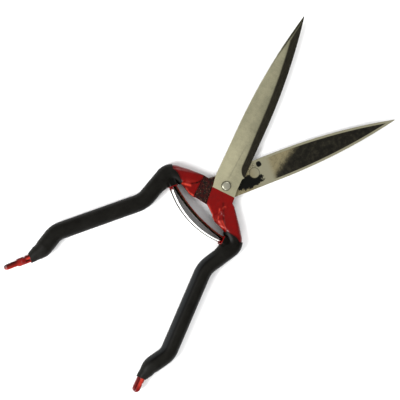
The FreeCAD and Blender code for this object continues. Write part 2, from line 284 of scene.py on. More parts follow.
def makeDust():
    # thin dry dust that gathers in patches on what faces up
    group, source, sink = newGroup(
        "dust",
        [("Place", "NodeSocketVector", None), ("Up", "NodeSocketFloat", 1.0),
         ("Amount", "NodeSocketFloat", 0.1),
         ("Scale", "NodeSocketFloat", 0.4)],
        [("Mask", "NodeSocketFloat")])
    patches = ramp(group, noise(group, source["Place"], source["Scale"], 5.0, 0.7), 0.42, 0.72)
    group.links.new(times(group, times(group, patches, source["Up"]), source["Amount"]),
                    sink["Mask"])
    return group


def makeEdgeWear():
    # paint or finish rubbed off where the piece's own edge mark is high, broken up by noise
    group, source, sink = newGroup(
        "edgeWear",
        [("Place", "NodeSocketVector", None), ("Edge", "NodeSocketFloat", 0.0),
         ("Amount", "NodeSocketFloat", 0.5),
         ("Scale", "NodeSocketFloat", 1.2)],
        [("Mask", "NodeSocketFloat")])
    chips = noise(group, source["Place"], source["Scale"], 5.0, 0.7)
    level = minus(group, 1.0, times(group, source["Edge"], source["Amount"]))
    group.links.new(ramp(group, chips, level, plus(group, level, 0.06)), sink["Mask"])
    return group


grainLines = makeGrainLines()
mottle = makeMottle()
dust = makeDust()
edgeWear = makeEdgeWear()
print("node groups built")


def grained(tree, place, stretch, breakup):
    return useGroup(tree, grainLines, {"Place": place, "Stretch": stretch, "Breakup": breakup})


def mottled(tree, place, scale, level, edge):
    return useGroup(tree, mottle, {"Place": place, "Scale": scale, "Level": level, "Edge": edge})


def newMaterial(name, **constants):
    material = bpy.data.materials.new(name)
    material.use_nodes = True
    tree = material.node_tree
    tree.nodes.clear()
    shader = addNode(tree, "ShaderNodeBsdfPrincipled", constants)
    output = addNode(tree, "ShaderNodeOutputMaterial")
    tree.links.new(shader.outputs[0], output.inputs[0])
    return material, tree, shader


def attributeVector(tree, name):
    return addNode(tree, "ShaderNodeAttribute", attribute_name=name).outputs["Vector"]


def parts(tree, vector):
    return addNode(tree, "ShaderNodeSeparateXYZ", {0: vector}).outputs


def attributeParts(tree, name):
    return parts(tree, attributeVector(tree, name))


def bumpNormal(tree, shader, height, strength, distance):
    node = addNode(tree, "ShaderNodeBump",
                   {"Height": height, "Strength": strength, "Distance": distance})
    tree.links.new(node.outputs[0], shader.inputs["Normal"])


blade = {
    "reach": 162.95,
    "halfWidth": 11.6,
    "thickness": 2.2,
    "slideGap": 0.1,
    "taperStart": 50.0,
    "tipHalfWidth": 0.45,
    "bevelWidth": 6.6,
    "bevelGrowth": 1.2,
    "edgeLand": 0.25,
    "heelX": 22.0,
    "heelRunout": 10.0,
    "tangWaist": 10.1,
    "tangFront": 10.0,
    "lapX": -5.7,
    "lapThickness": 0.8,
    "hollowMargin": 2.0,
    "hollowDepth": 0.35,
    "hollowStart": 46.0,
    "padRadius": 4.4,
    "padHeight": 0.06,
    "padX": 27.7,
    "padY": -1.5,
    "creasePath": (7.3, 0.7, 34.0, -1.0),
    "spineChamfer": 0.25,
    "tipChamfer": 1.5,       # the spine's chamfer grows to this at the tip
    "lipAlong": 2.9,         # how far the tang runs into the mouth of the tube
}

steelLook = {
    "face": (0.345, 0.325, 0.212, 1),
    "faceDark": (0.135, 0.13, 0.085, 1),
    "bevel": (0.016, 0.014, 0.009, 1),
    "inner": (0.20, 0.172, 0.095, 1),
    "margin": (0.25, 0.24, 0.165, 1),
    "hollow": (0.0065, 0.0058, 0.0035, 1),
    "hollowLight": (0.036, 0.032, 0.020, 1),
    "stainAndPadShadow": (0.003, 0.0033, 0.002, 1),
    "paint": (0.135, 0.0009, 0.0006, 1),
    "wornPaint": (0.03, 0.0014, 0.001, 1),
    "bareBand": (0.0035, 0.003, 0.0022, 1),
    "glint": (0.16, 0.12, 0.075, 1),
    "creaseLine": (1.17, 0.0645),        # the faint crease lies where y + 0.0645 x is 1.17
    "darkLean": 1.5,                     # how far the dark of the hollow leans to the spine
    "darkStart": 57.0,
    "darkFull": 72.0,
    "smearPlace": (20.5, 4.0, -0.1),
    "smearStretch": (0.46, 1.15, 1.0),
    "dropPlace": (33.8, -7.2, 0.1),
    "speckPlace": (26.5, -7.2, 0.1),
    "boltShadowAndGrime": 4.35,                   # radius of the painted shadow and grime round the rivet's head
}


def makeBladeSteel(rear):
    look = steelLook
    name = "satinSteelRear" if rear else "satinSteelFront"
    material, tree, shader = newMaterial(name, Roughness=0.42, IOR=1.5)
    shader.inputs["Specular IOR Level"].default_value = 0.2
    place = attributeVector(tree, "halfPlace")
    marks = attributeParts(tree, "marks")
    x, y = parts(tree, place)[0:2]
    ground = grained(tree, place, (5.0, 0.12, 0.3), 0.06)
    scratch = grained(tree, place, (0.25, 4.0, 0.3), 0.5)
    patches = mottled(tree, place, 0.16, 0.5, 0.16)
    toTip = plus(tree, ramp(tree, x, 5.0, 70.0, 0.0, 0.42), ramp(tree, x, 112.0, 160.0, 0.0, 0.75))
    toTip = plus(tree, toTip, ramp(tree, y, 5.0, -5.0, 0.0, 0.32))
    shade = plus(tree, toTip, times(tree, minus(tree, patches["Raw"], 0.5), 1.3))
    # painted shade along the faint crease of the outer face
    level, slope = look["creaseLine"]
    fromCrease = plus(tree, minus(tree, y, level), times(tree, x, slope))
    crease = ramp(tree, math2(tree, "ABSOLUTE", fromCrease), 0.95, 0.0)
    crease = times(tree, crease, times(tree, ramp(tree, x, 5.0, 10.0), ramp(tree, x, 42.0, 28.0)))
    shade = plus(tree, shade, times(tree, crease, 0.3))
    across = grained(tree, place, (2.4, 0.10, 0.3), 0.1)
    streaks = times(tree, ramp(tree, across["Lines"], 0.62, 0.78), ramp(tree, x, 70.0, 100.0))
    shade = minus(tree, shade, times(tree, streaks, 0.35))
    shade = plus(tree, shade, times(tree, minus(tree, ground["Lines"], 0.5), 0.5), clamp=True)
    outer = blendColour(tree, shade, look["face"], look["faceDark"])
    bevel = blendColour(tree, ramp(tree, scratch["Lines"], 0.45, 0.8, 0, 0.3), look["bevel"],
                        look["faceDark"])
    outer = blendColour(tree, marks[0], outer, bevel)

    stains = mottled(tree, place, 0.35, 0.56, 0.1)
    inner = blendColour(tree, times(tree, stains["Mask"], 0.45), look["inner"], look["hollowLight"])
    inner = blendColour(tree, times(tree, ramp(tree, ground["Lines"], 0.5, 0.75), 0.25), inner,
                        look["margin"])
    blotch = mottled(tree, place, 0.22, 0.55, 0.14)
    dark = blendColour(tree, times(tree, blotch["Mask"], 0.6), look["hollow"], look["hollowLight"])
    lean = plus(tree, x, times(tree, y, look["darkLean"]))
    fromHeel = plus(tree, lean, times(tree, blotch["Raw"], 22.0))
    fromHeel = ramp(tree, fromHeel, look["darkStart"], look["darkFull"])
    inner = blendColour(tree, times(tree, marks[2], fromHeel), inner, dark)
    rim = times(tree, minus(tree, 1.0, marks[2]), ramp(tree, x, 20.0, 34.0))
    inner = blendColour(tree, times(tree, rim, 0.85), inner, look["margin"])

    ragged = times(tree, minus(tree, stains["Raw"], 0.5), 11.0)
    away = vector2(tree, "SUBTRACT", place, look["smearPlace"])[0]
    stretched = vector2(tree, "MULTIPLY", away, look["smearStretch"])[0]
    reach = vector2(tree, "LENGTH", stretched)["Value"]
    smearAndPadShadow = ramp(tree, plus(tree, reach, ragged), 6.6, 5.8)
    toDrop = vector2(tree, "DISTANCE", place, look["dropPlace"])["Value"]
    nearDrop = plus(tree, toDrop, times(tree, ragged, 0.35))
    smearAndPadShadow = math2(tree, "MAXIMUM", smearAndPadShadow, ramp(tree, nearDrop, 2.7, 2.3))
    toSpecks = vector2(tree, "DISTANCE", place, look["speckPlace"])["Value"]
    fleck = mottled(tree, place, 1.1, 0.54, 0.03)
    flecks = times(tree, ramp(tree, toSpecks, 6.0, 2.5), fleck["Mask"])
    smearAndPadShadow = math2(tree, "MAXIMUM", smearAndPadShadow, flecks)
    padPlace = (blade["padX"], blade["padY"], blade["slideGap"])
    toPad = vector2(tree, "DISTANCE", place, padPlace)["Value"]
    smearAndPadShadow = times(tree, smearAndPadShadow, ramp(tree, toPad, 4.3, 4.6))
    # painted shadow: a dark ring round the rub pad, laid on with the smears and stains
    padShadowRing = times(tree, ramp(tree, toPad, 3.9, 4.3), ramp(tree, toPad, 4.9, 4.5))
    smearAndPadShadow = math2(tree, "MAXIMUM", smearAndPadShadow, times(tree, padShadowRing, 0.6))
    inner = blendColour(tree, smearAndPadShadow, inner, look["stainAndPadShadow"])

    colour = blendColour(tree, marks[1], outer, inner)
    # painted shadow and grime: a dark ring round the rivet's head
    boltRing = vector2(tree, "DISTANCE", place, (0, 0, rivet["bladeTop"]))["Value"]
    grime = times(tree, ramp(tree, boltRing, look["boltShadowAndGrime"], rivet["headRadius"]), 0.75)
    colour = blendColour(tree, grime, colour, look["hollow"])

    flakes = mottled(tree, place, 0.42, 0.5, 0.05)
    glints = noise(tree, place, 1.25, 1.0, 0.4)
    painted = ramp(tree, x, blade["lapX"] + 0.05, blade["lapX"] - 0.1)
    worn = times(tree, marks[1], minus(tree, 1.0, flakes["Mask"]))
    band = blendColour(tree, flakes["Mask"], look["bareBand"], look["wornPaint"])
    band = blendColour(tree, times(tree, ramp(tree, glints, 0.66, 0.72), 0.9), band, look["glint"])
    tang = blendColour(tree, marks[1], look["paint"], band)
    colour = blendColour(tree, painted, colour, tang)
    tree.links.new(colour, shader.inputs["Base Color"])

    tree.links.new(times(tree, minus(tree, 1.0, painted), 0.35), shader.inputs["Metallic"])
    rough = plus(tree, 0.34, times(tree, patches["Raw"], 0.2))
    rough = plus(tree, rough, times(tree, times(tree, marks[2], marks[1]), 0.18))
    rough = plus(tree, rough, times(tree, smearAndPadShadow, 0.1))
    tree.links.new(rough, shader.inputs["Roughness"])
    relief = plus(tree, times(tree, ground["Lines"], 0.5), times(tree, scratch["Lines"], 0.12))
    relief = plus(tree, relief, times(tree, times(tree, worn, painted), 1.6))
    bumpNormal(tree, shader, relief, 0.35, 0.00005)
    return material


tangCorner = np.array([-20.4, 8.6])
tangOuter = np.array([-10.9, -11.4])       # the tube's own corner stands out past this
armStart = np.array([-19.3, -6.3])
armHeading = math.radians(228.5)
armAlong = np.array([math.cos(armHeading), math.sin(armHeading)])
armAcross = np.array([-armAlong[1], armAlong[0]])
flatWidth = 19.9


def onArm(along, across):
    # a place on the arm: distance from its start, and sideways, the outer side being plus
    along, across = np.broadcast_arrays(np.asarray(along, float), np.asarray(across, float))
    return armStart + along[..., None] * armAlong + across[..., None] * armAcross


def tangSides(u, spineY, cutY):
    # the tang's two sides from the lap (u 0) to the arm (u 1); the spine side goes by its corner
    corner, end = tangCorner, onArm(0, -flatWidth / 2)
    start = np.array([blade["lapX"], spineY])
    legs = [np.linalg.norm(corner - start), np.linalg.norm(end - corner)]
    turnAt = legs[0] / sum(legs)
    toCorner = np.clip(u / turnAt, 0, 1)[:, None]
    toArm = np.clip((u - turnAt) / (1 - turnAt), 0, 1)[:, None]
    left = start + (corner - start) * toCorner + (end - corner) * toArm
    right = np.array([blade["lapX"], cutY]) * (1 - u[:, None]) + tangOuter * u[:, None]
    return left, right


def edgeHalf(x, inset=0.0):
    # half width of the blade to a line inset inside its edge: straight, then an arc to the tip
    tall, long = blade["halfWidth"], blade["reach"] - blade["taperStart"]
    full = (long ** 2 + tall ** 2) / (2 * tall)
    past = np.maximum(x - blade["taperStart"], 0)
    return np.sqrt(np.maximum((full - inset) ** 2 - past ** 2, 0)) - (full - blade["halfWidth"])


def cutSide(x):
    heelBack = blade["heelX"] - blade["heelRunout"]
    waist = blade["tangWaist"] + 0.8 * np.clip(x / blade["lapX"], 0, 1)
    return waist + (edgeHalf(x) - waist) * smooth(heelBack - 1.6, heelBack + 1.6, x)


def spineSide(x):
    front = blade["tangFront"]
    rise = 0.5 * smooth(blade["lapX"], -blade["lapX"], x)
    rise = rise + 0.5 * np.clip((x - blade["lapX"]) / (-2 * blade["lapX"]), 0, 1)
    return front + (edgeHalf(x) - front) * rise


def bevelSpan(x):
    # width of the ground bevel, growing past the heel
    return blade["bevelWidth"] + blade["bevelGrowth"] * smooth(24, 60, x)


def bevelTop(x):
    # where the ground bevel meets the outer face, with its round run-out at the heel
    centreY = -blade["halfWidth"] + blade["bevelWidth"] - blade["heelRunout"]
    back = np.clip(blade["heelX"] - x, 0, blade["heelRunout"])
    runout = centreY + np.sqrt(blade["heelRunout"] ** 2 - back ** 2)
    line = -edgeHalf(x, bevelSpan(x))
    return np.maximum(np.where(x < blade["heelX"], runout, line), -cutSide(x) + 0.03)


def outerFace(x, y):
    # height of the outer face: flat, rounding down a little to the bevel, the bevel's slope, and a
    # chamfer along the spine that widens towards the tip
    top = blade["slideGap"] + blade["thickness"]
    slope = (blade["thickness"] - blade["edgeLand"]) / bevelSpan(x)
    toBevel = y - bevelTop(x)
    flat = top - 0.10 * np.exp(-np.maximum(toBevel, 0) / 1.4) * smooth(12, 20, x)
    ridge = nearLine(x, y, *blade["creasePath"])
    flat = flat - 0.06 * np.exp(-(ridge / 0.6) ** 2)
    centreY = -blade["halfWidth"] + blade["bevelWidth"] - blade["heelRunout"]
    heelDrop = blade["heelRunout"] - np.hypot(x - blade["heelX"], y - centreY)
    drop = np.where(x < blade["heelX"], heelDrop, bevelTop(x) - y)
    ground = top - slope * np.maximum(drop, 0) + 10 * (drop < 0) * (x < blade["heelX"])
    chamfer = blade["spineChamfer"] + blade["tipChamfer"] * smooth(95, 158, x)
    spine = top - 0.55 * np.maximum(chamfer - (spineSide(x) - y), 0)
    return np.minimum(np.minimum(flat, np.where(toBevel < 0, ground, flat)), spine)


def innerFace(x, y):
    # depth of the inner face: a dished hollow inside a flat margin, and the low round rub pad
    inside = np.minimum(spineSide(x) - y, y + cutSide(x))
    wide = np.maximum(np.minimum(spineSide(x), cutSide(x)) - blade["hollowMargin"], 0.2)
    dish = np.clip(1 - (y / wide) ** 2, 0, 1)
    start = smooth(blade["hollowStart"] - 2, blade["hollowStart"] + 8, x)
    depth = blade["hollowDepth"] * smooth(1.85, 2.2, inside) * (0.45 + 0.55 * dish) * start
    toPad = np.hypot(x - blade["padX"], y - blade["padY"])
    pad = blade["padHeight"] * smooth(blade["padRadius"] + 0.15, blade["padRadius"] - 0.15, toPad)
    return blade["slideGap"] + depth - pad


def makeBlade(rear, material):
    tipX = blade["reach"] - 1.95
    x = np.concatenate([np.linspace(blade["lapX"], 30, 96), np.linspace(30.6, 150, 150)[1:],
                        np.linspace(150.3, tipX, 34)])
    ys, yc = spineSide(x), -cutSide(x)
    width = ys - yc
    chamfer = np.minimum(blade["spineChamfer"] + blade["tipChamfer"] * smooth(95, 158, x),
                         0.45 * width)
    ya = ys - chamfer
    yb = np.minimum(bevelTop(x), ya - 0.04 * width)
    run = np.linspace(0, 1, 22) ** 0.8
    down = np.linspace(0, 1, 7)
    outer = [ys, ys - chamfer * 0.5] + [ya + (yb - ya) * t for t in run]
    outer += [yb + (yc - yb) * t for t in down[1:]]
    outerY = np.stack(outer, 1)
    k = np.minimum(1, width / 5.6)
    steps = np.array([0, 0.3, 0.9, 1.5, 1.85, 2.0, 2.2])
    middle = np.linspace(0, 1, 26)[1:-1]
    inner = [yc + s * k for s in steps]
    inner += [yc + 2.2 * k + (width - 4.4 * k) * t for t in middle]
    inner += [ys - s * k for s in steps[:0:-1]] + [ys - 0.05 * k]
    innerY = np.stack(inner, 1)
    gridX = np.repeat(x[:, None], outerY.shape[1] + innerY.shape[1], 1)
    gridY = np.concatenate([outerY, innerY], 1)
    cols = outerY.shape[1]
    gridZ = np.concatenate([outerFace(gridX[:, :cols], outerY),
                            innerFace(gridX[:, cols:], innerY)], 1)
    gridZ[:, -1] = blade["slideGap"] + 0.12 * k
    bevel = np.zeros_like(gridX)
    bevel[:, 2 + len(run):cols] = 1
    bevel *= smooth(12.5, 13.6, gridX)
    bevel[:, :3] = 0.85 * smooth(100, 140, gridX[:, :3])
    narrow = smooth(0.3, 0.9, width)[:, None]
    inside = np.minimum(ys[:, None] - gridY, gridY - yc[:, None])
    hollow = smooth(1.8, 2.1, inside) * smooth(40, 46, gridX) * (np.arange(gridX.shape[1]) >= cols)
    side = np.repeat((np.arange(gridX.shape[1]) >= cols)[None].astype(float), len(x), 0)
    bladeRings = np.stack([gridX, gridY, gridZ], -1)
    marks = np.stack([bevel, side, hollow * narrow], -1)

    # the tip closes in a small half round
    turn = np.linspace(0.2, 1.45, 6)
    tips, tipMarks = [], []
    for a in turn:
        ring = bladeRings[-1].copy()
        ring[:, 0] += blade["tipHalfWidth"] * math.sin(a)
        middleY = (ys[-1] + yc[-1]) / 2
        ring[:, 1] = middleY + (ring[:, 1] - middleY) * math.cos(a)
        middleZ = ring[:, 2].mean()
        ring[:, 2] = middleZ + (ring[:, 2] - middleZ) * (0.4 + 0.6 * math.cos(a))
        tips.append(ring)
        tipMarks.append(marks[-1])

    # behind the lap the tang is thinner, and follows the corner into the mouth of the tube
    share = (ys[0] - gridY[0]) / width[0]
    low, high = bladeRings[0, :, 2], blade["slideGap"] + blade["thickness"] - blade["lapThickness"]
    u = np.concatenate([[0.003], np.linspace(0.04, 1, 30)])
    left, right = tangSides(u, ys[0], yc[0])
    run = np.linspace(0.4, blade["lipAlong"], 6)
    left = np.concatenate([left, onArm(run, -flatWidth / 2 + 0.3)])
    right = np.concatenate([right, onArm(run, flatWidth / 2 - 0.3)])
    flat = left[:, None, :] * (1 - share[None, :, None]) + right[:, None, :] * share[None, :, None]
    height = np.where(side[0] > 0, low, high)
    tang = np.concatenate([flat, np.repeat(height[None, :, None], len(flat), 0)], -1)
    tangMarks = np.zeros_like(tang)
    tangMarks[..., 1] = side[0]
    rings = np.concatenate([tang[::-1], bladeRings, np.array(tips)])
    allMarks = np.concatenate([tangMarks, marks, np.array(tipMarks)])
    name, body, node = halfNames(rear)
    attributes = {"halfPlace": rings, "marks": allMarks}
    piece = skinRings("blade" + name, placeHalf(rings, rear), attributes, sharp=12)
    finishPiece(piece, body, "blade_steel", material, "blade" + node)


enamelLook = {
    "red": (0.135, 0.0009, 0.0006, 1),
    "deep": (0.062, 0.0006, 0.0004, 1),
    # foldHighlight is painted highlight on folds and rims; crease is painted shade in the creases
    "foldHighlight": (0.50, 0.042, 0.022, 1),
    "crease": (0.008, 0.0004, 0.0003, 1),
    "chip": (0.03, 0.012, 0.008, 1),
    "dust": (0.5, 0.42, 0.36, 1),
}


def makeEnamel():
    look = enamelLook
    material, tree, shader = newMaterial("redEnamel", Roughness=0.3, IOR=1.5)
    shader.inputs["Specular IOR Level"].default_value = 0.22
    shader.inputs["Coat Weight"].default_value = 0.07
    shader.inputs["Coat Roughness"].default_value = 0.1
    place = attributeVector(tree, "halfPlace")
    marks = attributeParts(tree, "marks")
    pool = mottled(tree, place, 0.28, 0.52, 0.2)
    colour = blendColour(tree, times(tree, pool["Mask"], 0.5), look["red"], look["deep"])
    broken = ramp(tree, pool["Raw"], 0.36, 0.6, 0.35, 1.0)
    # painted highlights where the second mark is high, painted shade where the third is
    colour = blendColour(tree, times(tree, marks[1], broken), colour, look["foldHighlight"])
    colour = blendColour(tree, marks[2], colour, look["crease"])
    worn = useGroup(tree, edgeWear,
                    {"Place": place, "Edge": marks[0], "Amount": 0.42, "Scale": 1.6})
    colour = blendColour(tree, worn["Mask"], colour, look["chip"])
    dusty = useGroup(tree, dust, {"Place": place, "Up": 1.0, "Amount": 0.004, "Scale": 0.5})
    colour = blendColour(tree, dusty["Mask"], colour, look["dust"])
    tree.links.new(colour, shader.inputs["Base Color"])
    rough = plus(tree, 0.24, times(tree, pool["Raw"], 0.16))
    rough = plus(tree, rough, times(tree, worn["Mask"], 0.3))
    tree.links.new(rough, shader.inputs["Roughness"])
    relief = minus(tree, noise(tree, place, 0.9), times(tree, worn["Mask"], 0.5))
    bumpNormal(tree, shader, relief, 0.25, 0.0002)
    return material


handle = {
    "flatHeight": 3.0,
    "stations": [3.2, 12.0, 23.5],      # flat, swell and full tube, along the arm
    "swellHeight": 7.4,
    "tubeHeight": 11.0,
    "paintProud": 0.05,      # the enamel's own thickness on the lap
    "foldDepth": 0.6,
    "rimHeight": 0.35,
    "lugWidth": 6.6,
    "lugHeight": 6.0,
    "lugTip": -187.4,
    "lugY": -3.4,
    "notchRadius": 0.9,
    "notchFromTip": 8.4,
    "edgeRun": [0, 2.5, 7, 12.2, 17.0, 22.0, 25.0, 32.0],
    "innerEdge": [9.95, 10.6, 10.0, 7.6, 6.0, 5.9, 6.0, 6.0],
    "outerEdge": [9.95, 10.1, 9.65, 8.9, 8.3, 7.3, 6.7, 6.0],
    "points": 112,
}
folds = {
    "pressed": [(0.9, 0.75, -2.0, -1.4, 5.4, -5.3), (0.5, 0.6, -1.5, 0.4, -2.0, 2.8),
                (0.8, 0.8, 5.0, -1.8, 11.5, -4.2), (0.6, 0.9, 3.5, -7.5, 9.0, -7.8)],
    "creased": [(1.0, 0.7, 0.6, 7.2, 5.6, 1.4), (1.0, 0.6, 5.6, 1.4, 9.0, -1.2)],
    "rim": [(1.0, 0.75, -9.0, -9.7, 5.0, -9.9)],
    # highlightTop, shadeTop, highlightLow and shadeLow are lines of painted highlight and painted
    # shade
    "highlightTop": [(0.9, 0.6, -8.8, -10.1, 5.2, -10.2), (0.8, 0.5, -2.1, -2.4, 5.2, -6.3),
                  (0.7, 0.4, -1.3, 0.4, -1.9, 1.4), (0.6, 0.4, -2.0, 2.2, -1.6, 3.0),
                  (0.5, 0.6, 2.2, -8.2, 6.0, -8.4), (0.85, 0.9, 7.4, -7.0, 13.6, -6.4),
                  (0.7, 0.55, 8.2, -4.4, 15.6, -4.4)],
    "shadeTop": [(0.5, 0.9, -5.1, 2.4, 6.7, -2.2), (0.4, 0.8, 6.7, -2.6, 17.0, -4.2)],
    "highlightLow": [(1.0, 0.75, 9.6, -3.4, 16.8, -5.2), (0.95, 0.6, 1.0, -10.0, 8.4, -9.0),
                  (0.8, 0.6, 8.4, -9.0, 11.5, -7.0), (0.12, 1.4, 6.0, 1.8, 15.0, -1.5)],
    "shadeLow": [(0.9, 0.8, 0.4, 7.6, 5.6, 1.4), (0.7, 0.6, 5.6, 1.4, 9.5, -1.6)],
}
handleRoute = [onArm(0, 0), onArm(31.3, 0), (-70.0, -13.2), (-147.5, -15.4), (-163.5, -5.9),
               (-169.0, -5.2)]
handleRadii = [8.5, 22.0, 16.0, 14.0]
neckPlace = (-174.6, -3.4)
routePoints, routeHeadings = roundedRoute(handleRoute, handleRadii, 0.5)
routeRun = np.concatenate([[0], np.cumsum(np.linalg.norm(np.diff(routePoints, axis=0), axis=1))])


def alongRoute(s):
    # centre of the handle and its outer-side direction, a distance s from the start of the arm
    s = np.asarray(s, float)
    place = np.stack([np.interp(s, routeRun, routePoints[:, i]) for i in (0, 1)], -1)
    way = np.stack([np.interp(s, routeRun, routeHeadings[:, i]) for i in (0, 1)], -1)
    way = way / np.linalg.norm(way, axis=-1, keepdims=True)
    past = np.maximum(s - routeRun[-1], 0)[..., None]
    return place + way * past, np.stack([-way[..., 1], way[..., 0]], -1)


def armEdges(s):
    # how far the tube's inner and outer edges stand from the route
    inner = np.interp(s, handle["edgeRun"], handle["innerEdge"])
    outer = np.interp(s, handle["edgeRun"], handle["outerEdge"])
    return inner, outer


def armHeight(s):
    heights = [handle["flatHeight"], handle["swellHeight"], handle["tubeHeight"]]
    return np.interp(s, handle["stations"], heights)


def armCentre(s):
    return np.interp(s, handle["stations"], [0.8, 0.267, 0.0])


def foldArm(s, v, z):
    # the pressed end of the tube: on the inner face a flat three-cornered facet up to a slanting
    # ridge, on the outer face a crease with the metal falling away to the inner edge, and a few
    # small folds
    keep = smooth(-0.5, 3.4, s) * (1 - smooth(17, 22, s))
    ridge = np.interp(s, [-1, 5.6, 10.5, 16.6, 21], [8.2, 1.2, -2.9, -4.8, -6.5])
    floor = -(0.72 + 0.05 * s) - 0.9 * np.maximum(v - ridge, 0) - 0.5 * np.maximum(s - 15, 0)
    low = np.where(z < 0, np.maximum(z, floor), z)
    crease = np.interp(s, [-5, -2, 6.7, 17, 22], [2.4, 2.0, -2.2, -4.0, -5.5])
    tube = np.interp(s, handle["stations"], [2.3, 3.97, 5.5])
    roof = tube - 0.34 * np.maximum(crease - v, 0) - 0.05
    high = np.where(z > 0.4, np.minimum(z, np.maximum(roof, 0.6)), low)
    out = z + (high - z) * keep
    outer, inner, rim = foldLines(s, v)
    out = out - handle["foldDepth"] * outer * (z > 0.8)
    out = out + handle["rimHeight"] * rim * (z > 0.8) * (s < 12)
    return out - 0.25 * inner * np.sign(z) * (z < 0) * keep


def drawnLines(s, v, lines):
    # soft lines added up, each as strength, width, and the run and offset of its two ends
    return sum(power * bump(0, width, nearLine(s, v, *ends)) for power, width, *ends in lines)


def foldLines(s, v):
    # the small pressed folds of the outer face, the crease of the inner face, and the rolled rim
    return [drawnLines(s, v, folds[key]) for key in ("pressed", "creased", "rim")]


def foldMarks(s, v, z):
    # painted highlights and painted shade on the outer (z up) and inner faces
    top, below = (z > 0.3), (z < 0.3)
    highlightTop, shadeTop, highlightLow, shadeLow = (
        drawnLines(s, v, folds[key]) for key in ("highlightTop", "shadeTop", "highlightLow", "shadeLow"))
    shadeTop = shadeTop + smooth(8.6, 9.9, v) * smooth(2.6, 4, s) * 0.6
    shadeLow = shadeLow + smooth(8.4, 9.6, v) * smooth(2.6, 4, s) * 0.8
    return highlightTop * top + highlightLow * below, shadeTop * top + shadeLow * below


def armRings():
    # lap, pressed end and flare, from the paint line back into the sleeve
    count = handle["points"]
    top = blade["slideGap"] + blade["thickness"]
    u = np.concatenate([[0, 0.012], np.linspace(0.04, 0.985, 34)])
    left, right = tangSides(u, blade["tangFront"], -blade["tangWaist"] - 0.8)
    s = np.concatenate([[0.05, 0.6, 1.2, 1.8, 2.3, 2.6, 2.9, 3.2], np.linspace(3.6, 46.0, 130)])
    inner, outer = armEdges(s)
    place, side = alongRoute(s)
    left = np.concatenate([left, place - side * inner[:, None]])
    right = np.concatenate([right, place + side * outer[:, None]])
    wide = np.linalg.norm(right - left, axis=1)
    along = np.concatenate([u * 6 - 6.1, s])
    growth = smooth(2.2, 3.2, along)
    height = armHeight(along)
    height = blade["lapThickness"] + (height - blade["lapThickness"]) * growth
    centre = np.where(along < 3.2, top - height / 2, armCentre(along))
    across, up = stadium(wide[:, None], height[:, None], count)
    middle = (left + right) / 2
    way = (right - left) / wide[:, None]
    flat = middle[:, None, :] + way[:, None, :] * across[..., None]
    z = centre[:, None] + up
    fromArm = flat - armStart
    armS = np.where(along[:, None] < 23, fromArm @ armAlong, along[:, None])
    armV = np.where(along[:, None] < 23, fromArm @ armAcross, across)
    onLap = along < 0.3
    dent = 0.12 * bump(0, 0.8, nearLine(armS, armV, -5.0, 2.4, -1.0, -1.4))
    z = np.where(onLap[:, None], z - dent * (z > 1.9), foldArm(armS, armV, z))
    z = np.where(z > 1.9, z + handle["paintProud"] * (along[:, None] < 2), z)
    rim = np.abs(across) / (wide[:, None] / 2)
    # painted highlight and painted shade along the folds
    paintedHighlight, dark = foldMarks(armS, armV, z)
    marks = np.stack([smooth(0.9, 1.0, rim), np.clip(paintedHighlight, 0, 1), np.clip(dark, 0, 1)], -1)
    return np.concatenate([flat, z[..., None]], -1), marks


def lugRings():
    # the pinched end: tube inside the sleeve, neck, flat-sided lug with a round tip, a notch on its
    # outer edge and a pressed groove along both faces
    count = handle["points"]
    tipR = handle["lugWidth"] / 2
    x = np.concatenate([np.linspace(-160.0, -174.6, 24),
                        np.linspace(-175.0, handle["lugTip"] + tipR, 54),
                        handle["lugTip"] + tipR - tipR * np.sin(np.linspace(0.1, 1.5, 14))])
    routeY = np.interp(-x, [160.0, 163.5, 169.0, 174.6], [-7.6, -5.9, -5.2, handle["lugY"]])
    half = np.interp(-x, [160, 164.0, 169.0, 174.6], [5.4, 4.8, 3.9, tipR])
    tall = np.interp(-x, [160, 164.0, 169.0, 174.6], [5.0, 4.6, 3.8, handle["lugHeight"] / 2])
    tipPast = np.clip((handle["lugTip"] + tipR - x) / tipR, 0, 0.999)
    half = half * np.sqrt(1 - tipPast ** 2)
    tall = tall * (1 - 0.25 * tipPast ** 3)
    turn = np.linspace(0, 2 * np.pi, count, endpoint=False)
    power = np.interp(-x, [160, 170, 177], [1.0, 0.95, 0.62])[:, None]
    c, s = np.cos(turn), np.sin(turn)
    across = np.sign(c) * np.abs(c) ** power * half[:, None]
    up = np.sign(s) * np.abs(s) ** power * tall[:, None]
    notchX = handle["lugTip"] + handle["notchFromTip"]
    bite = np.sqrt(np.maximum(handle["notchRadius"] ** 2 - (x - notchX) ** 2, 0))
    low = -half + bite
    across = np.maximum(across, low[:, None])
    groove = bump(0.9, 0.45, across) * smooth(-174.2, -176, x)[:, None]
    groove = groove * (1 - tipPast[:, None] ** 2)
    up = up - np.sign(up) * groove * 0.55 * (np.abs(up) > 1.5)
    y = routeY[:, None] + across
    return np.stack([np.repeat(x[:, None], count, 1), y, up], -1)


